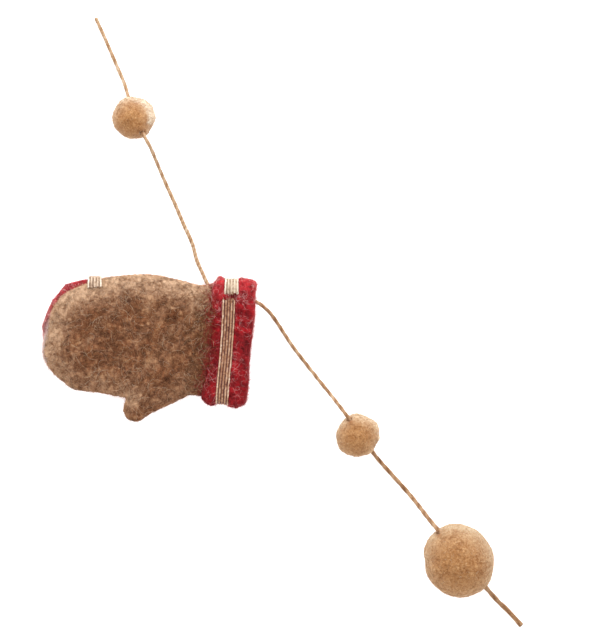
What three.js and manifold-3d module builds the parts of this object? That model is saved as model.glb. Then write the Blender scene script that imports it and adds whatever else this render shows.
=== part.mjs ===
// Felt mitten garland: a felt mitten and three felt balls threaded on a two-ply twine.
// Millimetres, +Z up. It lies flat on the plane z = 0, with the origin under the mitten's hand.
// The mitten's fingers point along -X and its cuff opens along +X.
import * as THREE from 'three';
import { mergeVertices } from 'three/addons/utils/BufferGeometryUtils.js';
import Module from 'manifold-3d';

const wasm = await Module();
wasm.setup();

// Driving dimensions
const feltThickness = 3.0;
const pieceGap = 0.3;
const feltEdgeRadius = 1.7;
const handCrown = 2.8; // how far the front swells above the seam
const handCrownWidth = 14;
const lumpHeight = 0.22;
const lumpFadeWidth = 9; // the lumps die away towards the seam
const cuffHalfHeight = 4.75;
const cuffHalfWidth = 29.0;
const ribbonThickness = 0.8;
const twineDiameter = 1.9;
const twineLay = 7.0; // length of one full turn of the two plies
const smallBallRadius = 10.1;
const largeBallRadius = 16.9;
const ballRestDepth = 0.45; // how far a ball is flattened where it rests
const ballLump = 0.012; // share of the radius

// Outline of the hand, along the upper edge, the fingers, the lower edge and the wrist
const handUpper = [
  [-42.9, 19.1], [-38.4, 22.7], [-29.4, 26.6], [-21.2, 29.0], [-14.4, 29.9],
  [-3.9, 30.7], [3.6, 30.2], [11.0, 28.8], [18.5, 26.6], [24.5, 25.4], [29.6, 26.1],
];
const handFingers = [
  [-42.9, -17.6], [-46.7, -13.9], [-49.3, -8.6], [-49.8, -2.8],
  [-48.5, 1.9], [-47.4, 8.6], [-45.9, 14.6], [-42.9, 19.1],
];
const handLower = [
  [-42.9, -17.6], [-37.6, -21.9], [-33.9, -23.4], [-26.4, -24.2], [-20.4, -25.2], [-14.2, -26.2],
  [-11.6, -28.0], [-12.1, -33.4], [-10.7, -36.4], [-8.5, -37.9], [-6.0, -37.9], [-3.4, -36.6],
  [0.6, -34.1], [7.3, -31.0], [12.5, -28.5], [17.1, -26.1], [20.8, -25.5], [24.1, -25.7],
];
const handWrist = [[24.1, -25.7], [26.5, -14.6], [28.1, -2.8], [28.4, 9.4], [28.4, 17.4], [29.6, 26.1]];

// The back keeps inside the front, but for its rim at the upper left
const backUpper = [
  [-42.6, 22.9], [-39.8, 26.5], [-34.0, 28.0], [-29.3, 28.9], [-21.2, 28.8], [-14.4, 29.2],
  [-3.9, 30.1], [3.6, 29.6], [11.0, 28.2], [18.5, 26.0], [24.5, 24.8], [29.6, 25.5],
];
const backFingers = [
  [-42.9, -16.9], [-46.4, -13.6], [-49.0, -8.6], [-50.2, -2.7],
  [-50.5, 1.9], [-51.2, 6.4], [-48.4, 14.2], [-45.8, 19.5], [-42.6, 22.9],
];
const backLower = [
  [-42.9, -16.9], [-37.4, -21.2], [-33.8, -22.7], [-26.4, -23.6], [-20.4, -24.6], [-13.4, -25.7],
  [-10.9, -28.2], [-11.4, -33.2], [-10.1, -35.9], [-8.3, -37.2], [-6.0, -37.2], [-3.6, -36.0],
  [0.3, -33.5], [7.0, -30.4], [12.2, -27.9], [16.8, -25.5], [20.8, -24.9], [24.1, -25.1],
];
const backWrist = [[24.1, -25.1], [26.5, -14.6], [28.1, -2.8], [28.4, 9.4], [28.4, 17.4], [29.6, 25.5]];

// Outline of the cuff
const cuffUpper = [[30.3, 27.0], [33.0, 29.6], [36.8, 28.9], [42.2, 29.0], [46.7, 28.8], [49.9, 26.6]];
const cuffLower = [[24.2, -28.1], [27.5, -30.8], [31.5, -30.0], [36.5, -30.7], [40.6, -32.1], [44.7, -29.7]];
const cuffWrist = [
  [24.2, -28.1], [26.1, -20.4], [27.8, -12.5], [28.8, -4.6],
  [29.2, 3.3], [29.3, 11.2], [29.3, 19.1], [30.3, 27.0],
];
const cuffMouth = [
  [44.7, -29.7], [45.9, -20.3], [46.2, -10.9], [47.1, -1.6], [48.4, 7.8], [49.2, 17.2], [49.9, 26.6],
];

// Lengthwise section of the cuff's wall, once round: share of the way from wrist to mouth, and the depth
// below the outer surface
const cuffWallProfile = [
  { along: 0, inset: 0.7 }, { along: 0.04, inset: 0 }, { along: 0.2, inset: 0 }, { along: 0.4, inset: 0 },
  { along: 0.6, inset: 0 }, { along: 0.8, inset: 0 }, { along: 0.96, inset: 0 }, { along: 1, inset: 0.7 },
  { along: 1, inset: 2.3 }, { along: 0.96, inset: 3 }, { along: 0.66, inset: 3 }, { along: 0.33, inset: 3 },
  { along: 0.04, inset: 3 }, { along: 0, inset: 2.3 },
];

// Ribbon round the cuff, from its end on the front over the upper edge, down the back and up the front again:
// share of the way round the cuff, counted from the upper edge over the front, with the ribbon's middle and
// half width along X
const cuffRibbonStations = [
  { turn: 0.0765, middle: 38.3, halfWidth: 3.4 },
  { turn: 0, middle: 38.2, halfWidth: 3.1 },
  { turn: -0.25, middle: 36.0, halfWidth: 3.0 },
  { turn: -0.5, middle: 33.7, halfWidth: 3.0 },
  { turn: -0.75, middle: 36.1, halfWidth: 3.0 },
  { turn: -0.903, middle: 37.1, halfWidth: 3.0 },
];

// Short ribbon folded over the fingers' upper edge: Y and Z along its middle
const fingerRibbonFold = [
  [24.7, 7.55], [26.2, 7.1], [27.9, 6.3], [29.3, 5.0], [29.8, 3.2],
  [29.5, 1.4], [28.2, 0.42], [25.0, 0.4], [19.0, 0.4],
];
const fingerRibbonMiddle = -26.0;
const fingerRibbonHalfWidth = 3.3;

// Centre, radius and stretch along the bore of each ball
const balls = [
  { name: 'ball_small_1', x: -7.6, y: 104.5, radius: smallBallRadius, stretch: 0.02, phase: 0.4, detail: 4 },
  { name: 'ball_small_2', x: 98.0, y: -44.7, radius: smallBallRadius, stretch: 0.02, phase: 2.1, detail: 4 },
  { name: 'ball_large', x: 145.1, y: -103.5, radius: largeBallRadius, stretch: 0.05, phase: 3.7, detail: 5 },
];
const boreDirection = new THREE.Vector3(0.6, -0.8, 0);

// Route of the twine's centre, from one cut end to the other
const twineRoute = [
  [-25.6, 151.6, 1.0], [-21.0, 141.5, 1.0], [-15.2, 128.0, 1.0], [-12.6, 120.6, 1.9], [-11.0, 115.4, 3.6],
  [-10.0, 111.6, 5.3], [-7.2, 105.2, 9.9], [-4.0, 98.4, 14.6], [-2.0, 94.6, 16.1], [0.2, 90.6, 14.6],
  [2.6, 85.0, 9.6], [5.3, 78.4, 3.6], [8.3, 71.6, 1.2], [11.3, 65.0, 1.0], [15.6, 54.9, 1.0],
  [19.9, 45.3, 1.0], [22.0, 37.6, 1.1], [24.9, 31.0, 2.0], [27.1, 26.2, 3.1], [29.2, 22.9, 3.9],
  [33.4, 21.0, 4.5], [41.0, 20.2, 4.6], [50.0, 17.8, 4.4], [54.4, 14.7, 2.9], [57.8, 11.0, 1.3],
  [63.5, 2.4, 1.0], [68.1, -4.4, 1.0], [78.4, -17.6, 1.2], [85.6, -26.6, 6.0], [91.2, -33.8, 13.4],
  [94.4, -38.2, 14.6], [98.6, -44.2, 9.9], [102.8, -50.2, 5.0], [107.4, -55.8, 1.5], [114.4, -63.7, 1.0],
  [123.0, -74.1, 4.6], [131.2, -85.2, 17.2], [137.2, -92.4, 22.9], [147.0, -104.0, 16.4],
  [156.4, -114.6, 9.5], [163.0, -122.2, 3.4], [168.2, -127.2, 1.1], [174.8, -134.4, 1.0],
];

// Colours
const brownFelt = 0x8a6648;
const redFelt = 0xa81c28;
const ribbonCream = 0xe0cdb5;
const ballTan = 0xd2ad7e;
const twineTan = 0xc09a68;

// Shared forms

// Keeps position only and joins the points that faces share
function closed(geometry) {
  geometry.deleteAttribute('normal');
  geometry.deleteAttribute('uv');
  return mergeVertices(geometry, 1e-4);
}

function solidOf(geometry) {
  return new wasm.Manifold(new wasm.Mesh({
    numProp: 3,
    vertProperties: new Float32Array(geometry.attributes.position.array),
    triVerts: new Uint32Array(geometry.index.array),
  }));
}

function geometryOf(solid) {
  const mesh = solid.getMesh();
  const geometry = new THREE.BufferGeometry();
  geometry.setAttribute('position', new THREE.BufferAttribute(new Float32Array(mesh.vertProperties), 3));
  geometry.setIndex(new THREE.BufferAttribute(new Uint32Array(mesh.triVerts), 1));
  return geometry;
}

function cut(geometry, ...cutters) {
  return geometryOf(cutters.reduce((left, cutter) => left.subtract(solidOf(cutter)), solidOf(geometry)));
}

// Moves every point of a closed geometry to where place(x, y, z) puts it
function warp(geometry, place) {
  const warped = closed(geometry);
  const positions = warped.attributes.position;
  for (let i = 0; i < positions.count; i += 1) {
    const moved = place(positions.getX(i), positions.getY(i), positions.getZ(i));
    positions.setXYZ(i, moved.x, moved.y, moved.z);
  }
  return warped;
}

function edgeCurve(points) {
  return new THREE.SplineCurve(points.map(([x, y]) => new THREE.Vector2(x, y)));
}

// A patch stretched between four edge curves: u runs from fingers to wrist, v from lower to upper edge
function patch(lowerPoints, upperPoints, startPoints, endPoints) {
  const [lower, upper, start, end] = [lowerPoints, upperPoints, startPoints, endPoints].map(edgeCurve);
  const corners = [lower.getPoint(0), lower.getPoint(1), upper.getPoint(0), upper.getPoint(1)];
  return (u, v) => {
    const along = lower.getPoint(u).lerp(upper.getPoint(u), v);
    const across = start.getPoint(v).lerp(end.getPoint(v), u);
    const bilinear = corners[0].clone().lerp(corners[1], u)
      .lerp(corners[2].clone().lerp(corners[3], u), v);
    return along.add(across).sub(bilinear);
  };
}

// Distance from a point to the sewn edge: the upper edge, the fingers and the lower edge
function sewnEdgeDistance(edges) {
  const line = edges.flatMap((points) => edgeCurve(points).getPoints(points.length * 5));
  return (point) => Math.min(...line.map((edgePoint) => edgePoint.distanceTo(point)));
}

// 0 at the edge and 1 from the given width on, as a quarter circle rises
function quarterRound(distance, width) {
  const left = 1 - Math.min(distance / width, 1);
  return Math.sqrt(1 - left * left);
}

// The slow lumps of hand-made felt
function feltLump(x, y, phase) {
  const broad = Math.sin(0.31 * x + phase) * Math.cos(0.27 * y - phase);
  const slanting = Math.sin(0.53 * x - 0.47 * y + 2 * phase);
  return broad + 0.6 * slanting;
}

// A felt sheet over an outline, with rounded edges and a smooth underside. swell(distance) lifts it
// between its sewn edges
function feltSheet({ lower, upper, fingers, wrist, bottom, swell, segments }) {
  const planPoint = patch(lower, upper, fingers, wrist);
  const edgeDistance = sewnEdgeDistance([lower, upper, fingers]);
  const halfThickness = feltThickness / 2;
  const bluntEdge = 0.4;
  return warp(new THREE.BoxGeometry(1, 1, 1, segments.along, segments.across, 1), (x, y, z) => {
    const u = 1 - Math.cos((x + 0.5) * Math.PI / 2);
    const v = 0.5 - 0.5 * Math.cos((y + 0.5) * Math.PI);
    const plan = planPoint(u, v);
    const distance = edgeDistance(plan);
    const fullness = Math.max(bluntEdge, quarterRound(distance, feltEdgeRadius));
    const side = Math.sign(z);
    const lumpShare = side > 0 ? Math.min(distance / lumpFadeWidth, 1) : 0;
    const lump = lumpHeight * lumpShare * feltLump(plan.x, plan.y, 1);
    const height = bottom + halfThickness + side * halfThickness * fullness + swell(distance) + lump;
    return new THREE.Vector3(plan.x, plan.y, height);
  });
}

// The space that a round thing of the given radius needs on the stretch of a curve between two shares of
// its length
function clearanceTube(curve, from, to, innerRadius) {
  const sides = 10;
  const radius = innerRadius / Math.cos(Math.PI / sides);
  const section = new THREE.Shape(
    Array.from({ length: sides }, (_, k) => new THREE.Vector2(
      radius * Math.cos(2 * Math.PI * k / sides), radius * Math.sin(2 * Math.PI * k / sides))));
  const steps = 14;
  const stretch = new THREE.CatmullRomCurve3(
    Array.from({ length: steps + 1 }, (_, k) => curve.getPointAt(from + (to - from) * k / steps)));
  return closed(new THREE.ExtrudeGeometry(section, { steps, extrudePath: stretch }));
}

// Twine

const twineCurve = new THREE.CatmullRomCurve3(
  twineRoute.map(([x, y, z]) => new THREE.Vector3(x, y, z)), false, 'catmullrom', 0.5);
twineCurve.arcLengthDivisions = 4000;

// The share of the twine's length at which it passes nearest to a place on the plane
function twineShareNear(x, y) {
  const samples = 2000;
  let best = 0;
  let nearest = Infinity;
  for (let k = 0; k <= samples; k += 1) {
    const point = twineCurve.getPointAt(k / samples);
    const distance = Math.hypot(point.x - x, point.y - y);
    if (distance < nearest) {
      nearest = distance;
      best = k / samples;
    }
  }
  return best;
}

// Section of two plies side by side, which turns along the twine
function twineGeometry() {
  const half = twineDiameter / 2;
  const plySection = [
    [1, 0], [0.66, 0.48], [0, 0.34], [-0.66, 0.48], [-1, 0], [-0.66, -0.48], [0, -0.34], [0.66, -0.48],
  ];
  const section = new THREE.Shape(plySection.map(([x, y]) => new THREE.Vector2(half * x, half * y)));
  const length = twineCurve.getLength();
  const stepsPerTurn = 7;
  const steps = Math.round(stepsPerTurn * length / twineLay);
  const up = new THREE.Vector3(0, 0, 1);
  return warp(new THREE.ExtrudeGeometry(section, { depth: 1, steps, bevelEnabled: false }), (x, y, z) => {
    const centre = twineCurve.getPointAt(z);
    const tangent = twineCurve.getTangentAt(z);
    const sideways = new THREE.Vector3().crossVectors(up, tangent).normalize();
    const upwards = new THREE.Vector3().crossVectors(tangent, sideways);
    const turn = 2 * Math.PI * z * length / twineLay;
    centre.z = Math.max(centre.z, half);
    return centre
      .addScaledVector(sideways, x * Math.cos(turn) - y * Math.sin(turn))
      .addScaledVector(upwards, x * Math.sin(turn) + y * Math.cos(turn));
  });
}

function twineBore(x, y, reach) {
  const share = twineShareNear(x, y);
  const margin = reach / twineCurve.getLength();
  return clearanceTube(twineCurve, share - margin, share + margin, twineDiameter / 2 + pieceGap);
}

// Mitten

const cuffPlan = patch(cuffLower, cuffUpper, cuffWrist, cuffMouth);

// A point of the cuff's section, two flat sides joined by half circles, drawn in by inset.
// turn is the share of the way round, 0 at the upper edge and rising over the front
function cuffSectionPoint(turn, inset) {
  const endCentre = cuffHalfWidth - cuffHalfHeight;
  const quarterArc = Math.PI * cuffHalfHeight / 2;
  const flatSide = 2 * endCentre;
  const perimeter = 4 * quarterArc + 2 * flatSide;
  const radius = cuffHalfHeight - inset;
  const travelled = (turn - Math.floor(turn)) * perimeter;
  const half = travelled < perimeter / 2 ? 1 : -1;
  const fromUpper = half > 0 ? travelled : perimeter - travelled;
  let across = endCentre + quarterArc - fromUpper;
  let rise = radius;
  if (fromUpper < quarterArc || fromUpper > quarterArc + flatSide) {
    const pastFlat = fromUpper < quarterArc ? 0 : fromUpper - quarterArc - flatSide;
    const angle = (Math.min(fromUpper, quarterArc) + pastFlat) / cuffHalfHeight;
    across = (fromUpper < quarterArc ? endCentre : -endCentre) + radius * Math.cos(angle);
    rise = radius * Math.sin(angle);
  }
  return { across: across / cuffHalfWidth, height: cuffHalfHeight + half * rise };
}

// Where the section point lies at share u of the way from wrist to mouth
function onCuff(u, turn, inset) {
  const { across, height } = cuffSectionPoint(turn, inset);
  const inside = THREE.MathUtils.clamp(across, -1, 1);
  const plan = cuffPlan(THREE.MathUtils.clamp(u, 0, 1), 0.5 + 0.5 * inside);
  return new THREE.Vector3(plan.x, plan.y + (across - inside) * cuffHalfWidth, height);
}

function cuffGeometry() {
  const hubRadius = 10; // the profile is first spun round a hub, and its points are then moved into place
  const segments = 28;
  const profile = [...cuffWallProfile, cuffWallProfile[0]].reverse()
    .map(({ along, inset }) => new THREE.Vector2(hubRadius - inset, along));
  return warp(new THREE.LatheGeometry(profile, segments), (x, y, z) => {
    const inset = hubRadius - Math.hypot(x, z);
    const point = onCuff(y, Math.atan2(z, x) / (2 * Math.PI), inset);
    if (inset < 0.01 && point.z > cuffHalfHeight) point.z += lumpHeight * feltLump(point.x, point.y, 2.5);
    return point;
  });
}

// The stations of the cuff's ribbon, interpolated at a share of its length
function cuffRibbonStation(share) {
  const first = cuffRibbonStations[0];
  const lastIndex = cuffRibbonStations.length - 1;
  const turn = first.turn + (cuffRibbonStations[lastIndex].turn - first.turn) * share;
  const passed = cuffRibbonStations.filter((station) => station.turn >= turn).length;
  const next = Math.min(Math.max(passed, 1), lastIndex);
  const [a, b] = [cuffRibbonStations[next - 1], cuffRibbonStations[next]];
  const part = Math.min(Math.max((turn - a.turn) / (b.turn - a.turn), 0), 1);
  const middles = edgeCurve(cuffRibbonStations.map((station, k) => [k, station.middle]));
  return {
    turn,
    middle: middles.getPoint((next - 1 + part) / lastIndex).y,
    halfWidth: THREE.MathUtils.lerp(a.halfWidth, b.halfWidth, part),
  };
}

// The band round the cuff, grown by the given margin where it is used to press its groove into the felt
function cuffRibbonGeometry(margin) {
  const segments = 48;
  const nominalLength = 120;
  const grooveOutside = -2;
  const cuffLength = 20;
  const solvePasses = 8;
  return warp(new THREE.BoxGeometry(1, 1, 1, segments, 2, 1), (x, y, z) => {
    const atEnd = Math.abs(x) > 0.499 ? Math.sign(x) : 0;
    const { turn, middle, halfWidth } = cuffRibbonStation(x + 0.5 + atEnd * margin / nominalLength);
    const targetX = middle - 2 * y * (halfWidth + margin);
    let u = 0.5;
    for (let pass = 0; pass < solvePasses; pass += 1) {
      u += (targetX - onCuff(u, turn, 0).x) / cuffLength;
    }
    const outside = margin > 0 ? grooveOutside : 0;
    return onCuff(u, turn, z > 0 ? outside : ribbonThickness + margin);
  });
}

// The ribbon folded over the fingers' edge, grown by margin for its groove
function fingerRibbonGeometry(margin) {
  const fold = edgeCurve(fingerRibbonFold);
  const halfThickness = ribbonThickness / 2 + margin;
  const segments = 24;
  return warp(new THREE.BoxGeometry(1, 1, 1, segments, 1, 1), (x, y, z) => {
    const share = x + 0.5;
    const point = fold.getPoint(share);
    const tangent = fold.getTangent(share);
    const outwards = new THREE.Vector2(-tangent.y, tangent.x);
    const beyond = Math.abs(x) > 0.499 ? Math.sign(x) * margin : 0;
    point.addScaledVector(tangent, beyond).addScaledVector(outwards, 2 * z * halfThickness);
    const floor = margin > 0 ? -1 : 0;
    return new THREE.Vector3(
      fingerRibbonMiddle - 2 * y * (fingerRibbonHalfWidth + margin), point.x, Math.max(point.y, floor));
  });
}

const seamCrossing = { x: 28.0, y: 24.6, reach: 8 }; // where the twine goes in between front and back
const seamBore = twineBore(seamCrossing.x, seamCrossing.y, seamCrossing.reach);
const cuffGroove = cuffRibbonGeometry(pieceGap);
const fingerGroove = fingerRibbonGeometry(pieceGap);

function handBackGeometry() {
  const sheet = feltSheet({
    lower: backLower, upper: backUpper, fingers: backFingers, wrist: backWrist,
    bottom: 0, swell: () => 0, segments: { along: 26, across: 12 },
  });
  return cut(sheet, seamBore, fingerGroove);
}

function handFrontGeometry() {
  const sheet = feltSheet({
    lower: handLower, upper: handUpper, fingers: handFingers, wrist: handWrist,
    bottom: feltThickness + pieceGap,
    swell: (distance) => handCrown * Math.sin(Math.PI / 2 * Math.min(distance / handCrownWidth, 1)) ** 1.5,
    segments: { along: 30, across: 14 },
  });
  return cut(sheet, seamBore, fingerGroove);
}

// Felt balls

function ballGeometry({ x, y, radius, stretch, phase, detail }) {
  const centreHeight = radius - ballRestDepth;
  const ball = warp(new THREE.IcosahedronGeometry(1, detail), (dx, dy, dz) => {
    const direction = new THREE.Vector3(dx, dy, dz).normalize();
    const alongBore = direction.dot(boreDirection);
    const lumps = Math.sin(5 * dx + phase) + Math.sin(6 * dy - phase) * Math.cos(4 * dz + phase);
    const reach = radius * (1 + stretch * (alongBore * alongBore - 0.4) + ballLump * lumps);
    const height = Math.max(centreHeight + reach * direction.z, 0);
    return new THREE.Vector3(x + reach * direction.x, y + reach * direction.y, height);
  });
  return cut(ball, twineBore(x, y, radius * 1.5));
}

// The whole garland

function piece(name, geometry, color, roughness) {
  const mesh = new THREE.Mesh(geometry, new THREE.MeshStandardMaterial({ color, roughness, metalness: 0 }));
  mesh.name = name;
  return mesh;
}

const feltRoughness = 0.95;
const wovenRoughness = 0.8;
const garland = new THREE.Group();
garland.add(
  piece('hand_back', handBackGeometry(), redFelt, feltRoughness),
  piece('hand_front', handFrontGeometry(), brownFelt, feltRoughness),
  piece('cuff', cut(cuffGeometry(), cuffGroove, seamBore), redFelt, feltRoughness),
  piece('cuff_ribbon', cuffRibbonGeometry(0), ribbonCream, wovenRoughness),
  piece('finger_ribbon', fingerRibbonGeometry(0), ribbonCream, wovenRoughness),
  piece('twine', twineGeometry(), twineTan, wovenRoughness),
);
balls.forEach((ball) => garland.add(piece(ball.name, ballGeometry(ball), ballTan, feltRoughness)));

export default garland;
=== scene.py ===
# Felt mitten garland, lying flat and seen from straight above. Metres, +Z up, picture up is +Y.
import bisect
import itertools
import math
import random
import bpy
from mathutils import Matrix, Vector, noise
from mathutils.bvhtree import BVHTree


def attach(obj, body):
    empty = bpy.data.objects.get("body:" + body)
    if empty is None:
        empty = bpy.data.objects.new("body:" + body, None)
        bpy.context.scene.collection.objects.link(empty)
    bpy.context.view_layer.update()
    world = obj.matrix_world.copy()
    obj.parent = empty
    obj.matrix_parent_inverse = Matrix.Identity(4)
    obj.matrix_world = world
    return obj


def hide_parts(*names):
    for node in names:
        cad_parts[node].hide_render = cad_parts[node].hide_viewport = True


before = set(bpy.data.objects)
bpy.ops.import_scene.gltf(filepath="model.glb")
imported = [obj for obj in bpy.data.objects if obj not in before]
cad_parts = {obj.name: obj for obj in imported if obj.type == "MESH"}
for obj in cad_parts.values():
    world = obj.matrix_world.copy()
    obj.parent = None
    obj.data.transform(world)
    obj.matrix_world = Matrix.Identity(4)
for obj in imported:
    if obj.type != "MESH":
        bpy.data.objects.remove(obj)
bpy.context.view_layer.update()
scene = bpy.context.scene
mm = 0.001


def addObject(name, data):
    made = bpy.data.objects.new(name, data)
    scene.collection.objects.link(made)
    return made


# Camera

view = {
    "width": 592, "height": 642,  # pixels
    "pixel": 0.47 * mm,
    "origin": (150, 340),  # the pixel over the model's origin
    "distance": 10.0,
    "sensor": 36.0,
}


def setCamera():
    data = bpy.data.cameras.new("camera")
    data.sensor_width = view["sensor"]
    data.lens = view["sensor"] * view["distance"] / (view["height"] * view["pixel"])
    data.clip_end = 50
    camera = addObject("camera", data)
    x = (view["width"] / 2 - view["origin"][0]) * view["pixel"]
    y = (view["origin"][1] - view["height"] / 2) * view["pixel"]
    camera.location = (x, y, view["distance"])
    scene.camera = camera
    return Vector((x, y, 0))


middle = setCamera()
print("camera set")


# Small helpers

def makeActive(piece):
    bpy.ops.object.select_all(action="DESELECT")
    piece.select_set(True)
    bpy.context.view_layer.objects.active = piece


def applyModifier(piece, kind, **settings):
    modifier = piece.modifiers.new(kind.lower(), kind)
    for name, value in settings.items():
        setattr(modifier, name, value)
    makeActive(piece)
    bpy.ops.object.modifier_apply(modifier=modifier.name)


def toUnit(value):
    return max(0.0, min(1.0, value))


def wave(x, y, z):
    return noise.noise(Vector((x, y, z)))


def mixed(a, b, share):
    return [p + (q - p) * share for p, q in zip(a, b)]


def readTable(rows, at):
    # Each row is a place and the values there, with straight lines between the rows
    for (before, *a), (after, *b) in zip(rows, rows[1:]):
        if at <= after:
            return mixed(a, b, max(at - before, 0) / (after - before))
    return rows[-1][1:]


def awayFrom(place, x, y):
    # Millimetres from (x, y), seen from above
    return math.hypot(place.x / mm - x, place.y / mm - y)


def nearness(place, x, y, radius):
    # Falls from 1 at (x, y) to 0 at the radius, all in millimetres
    away = awayFrom(place, x, y) / radius
    return max(0.0, 1 - away * away) ** 2


def aboveFloor(points, least):
    # The points, raised to at least so many millimetres over the floor
    return [Vector((p.x, p.y, max(p.z, least * mm))) for p in points]

def newShape():
    return {"points": [], "faces": [], "tones": [], "shares": []}


def shapePiece(shape, name, material):
    mesh = bpy.data.meshes.new(name)
    mesh.from_pydata(shape["points"], [], shape["faces"])
    for attribute, key in (("tone", "tones"), ("share", "shares")):
        values = mesh.attributes.new(attribute, "FLOAT", "POINT")
        values.data.foreach_set("value", shape[key])
    mesh.polygons.foreach_set("use_smooth", [True] * len(mesh.polygons))
    mesh.update()
    piece = addObject(name, mesh)
    mesh.materials.append(material)
    return piece


def addStrand(shape, path, ups, radii, sides, tone, flatten=1.0, share=0.0):
    # A closed strand with a pointed cap at each end; share is how much of the second colour it has
    first = len(shape["points"])
    last = len(path) - 1
    shape["points"].append(path[0])
    for k in range(1, last):
        along = (path[k + 1] - path[k - 1]).normalized()
        side = along.cross(ups[k]).normalized()
        up = side.cross(along)
        for s in range(sides):
            angle = 2 * math.pi * s / sides
            offset = side * (radii[k] * math.cos(angle)) + up * (radii[k] * flatten * math.sin(angle))
            shape["points"].append(path[k] + offset)
    shape["points"].append(path[last])
    added = len(shape["points"]) - first
    shape["tones"] += tone if isinstance(tone, list) else [tone] * added
    shape["shares"] += share if isinstance(share, list) else [share] * added
    end = first + added - 1
    for s in range(sides):
        t = (s + 1) % sides
        shape["faces"].append((first, first + 1 + s, first + 1 + t))
        shape["faces"].append((end, end - sides + t, end - sides + s))
        for k in range(last - 2):
            ring = first + 1 + k * sides
            shape["faces"].append((ring + s, ring + sides + s, ring + sides + t, ring + t))


# Material helpers

def newMaterial(name):
    material = bpy.data.materials.new(name)
    material.use_nodes = True
    material.node_tree.nodes.clear()
    return material, material.node_tree


def addNode(tree, kind, inputs=None, **settings):
    made = tree.nodes.new(kind)
    for name, value in settings.items():
        setattr(made, name, value)
    for socket, value in (inputs or {}).items():
        if isinstance(value, bpy.types.NodeSocket):
            tree.links.new(value, made.inputs[socket])
        else:
            made.inputs[socket].default_value = value
    return made


def addRamp(tree, factor, stops):
    ramp = addNode(tree, "ShaderNodeValToRGB", {"Fac": factor})
    elements = ramp.color_ramp.elements
    while len(elements) < len(stops):
        elements.new(0.5)
    for element, (position, colour) in zip(elements, stops):
        element.position = position
        element.color = linear(colour)
    return ramp.outputs["Color"]


def linear(colour):
    # A colour as seen on screen, 0 to 255
    parts = [c / 255 for c in colour]
    return tuple(p / 12.92 if p <= 0.04045 else ((p + 0.055) / 1.055) ** 2.4 for p in parts) + (1.0,)


def addMath(tree, operation, a, b=0.5, clamp=False):
    return addNode(tree, "ShaderNodeMath", {0: a, 1: b}, operation=operation, use_clamp=clamp).outputs[0]


def addMix(tree, factor, a, b):
    return addNode(tree, "ShaderNodeMix", {0: factor, 6: a, 7: b}, data_type="RGBA").outputs[2]


def addNoise(tree, place, scale, detail, roughness=0.5, distortion=0.0):
    return addNode(tree, "ShaderNodeTexNoise", {
        "Vector": place, "Scale": scale, "Detail": detail, "Roughness": roughness,
        "Distortion": distortion}).outputs[0]


def addRange(tree, value, before, after, **settings):
    return addNode(tree, "ShaderNodeMapRange", {
        "Value": value, "From Min": before[0], "From Max": before[1], "To Min": after[0],
        "To Max": after[1]}, **settings).outputs[0]


def addBump(tree, height, strength, depth):
    return addNode(tree, "ShaderNodeBump", {
        "Height": height, "Strength": strength, "Distance": depth}).outputs[0]


def readPlace(tree):
    return addNode(tree, "ShaderNodeTexCoord").outputs["Object"]


def readValue(tree, name):
    # A number that each point of the piece carries
    return addNode(tree, "ShaderNodeAttribute", attribute_name=name).outputs["Fac"]


def addShader(tree, inputs):
    shader = addNode(tree, "ShaderNodeBsdfPrincipled", inputs)
    addNode(tree, "ShaderNodeOutputMaterial", {"Surface": shader.outputs[0]})


def matting(tree, place, scale, width, shift):
    # Thin winding lines, bright on dark, as matted wool shows
    moved = addNode(tree, "ShaderNodeMapping", {"Vector": place, "Location": shift}).outputs[0]
    cloud = addNoise(tree, moved, scale, 1.0, distortion=1.4)
    away = addMath(tree, "ABSOLUTE", addMath(tree, "SUBTRACT", cloud, 0.5))
    return addRange(tree, away, (0.0, width), (1.0, 0.0), interpolation_type="SMOOTHSTEP")


def feltMaterial(name, look):
    material, tree = newMaterial(name)
    place, clumpAndShade = readPlace(tree), readValue(tree, "clumpAndShade")
    patches = addNoise(tree, place, look["patchScale"], 4.0, 0.62, 0.4)
    grain = addNoise(tree, place, look["grainScale"], 3.0, 0.6, 1.0)
    value = 0.0
    for part, weight in zip((patches, clumpAndShade, grain), look["mix"]):
        value = addMath(tree, "ADD", addMath(tree, "MULTIPLY", part, weight), value)
    colour = addRamp(tree, value, look["colours"])
    coarse = matting(tree, place, look["strandScale"], 0.035, (0.3, 0.1, 0.2))
    fine = matting(tree, place, look["strandScale"] * 1.9, 0.045, (1.3, 0.6, 0.9))
    strands = addMath(tree, "MAXIMUM", coarse, addMath(tree, "MULTIPLY", fine, 0.7))
    share = addMath(tree, "MULTIPLY", strands, addMath(tree, "MULTIPLY", patches, look["strandShare"]),
                    clamp=True)
    colour = addMix(tree, share, colour, linear(look["strandColour"]))
    # Painted light: the felt is mixed towards its pale colour where the piece's pale value is high, on its lit sides
    # and rounded rims, broken up by the patches
    patchy = addRange(tree, value, (0.4, 0.6), (0.3, 1.2))
    wearAndPaintedLight = addMath(tree, "MULTIPLY", readValue(tree, "pale"), patchy)
    wearAndPaintedLight = addMath(tree, "MULTIPLY", wearAndPaintedLight, look["paleShare"], clamp=True)
    colour = addMix(tree, wearAndPaintedLight, colour, linear(look["paleColour"]))
    # The second colour: red wool by the wrist on the front, painted shade round the twine's exit on the balls
    if "red" in look:
        ragged = addMath(tree, "ADD", grain, 0.35)
        reach = addMath(tree, "MULTIPLY", readValue(tree, "redShare"), ragged, clamp=True)
        colour = addMix(tree, reach, colour, linear(look["red"]))
    height = addMath(tree, "ADD", addMath(tree, "MULTIPLY", strands, 0.45), grain)
    addShader(tree, {
        "Base Color": colour, "Roughness": 0.95, "Specular IOR Level": 0.15,
        "Normal": addBump(tree, height, look["bump"], look["bumpDepth"]),
        "Sheen Weight": look["sheen"], "Sheen Roughness": 0.45, "Sheen Tint": linear(look["sheenColour"])})
    return material


redWool = (150, 48, 44)  # of red fibres among others


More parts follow.
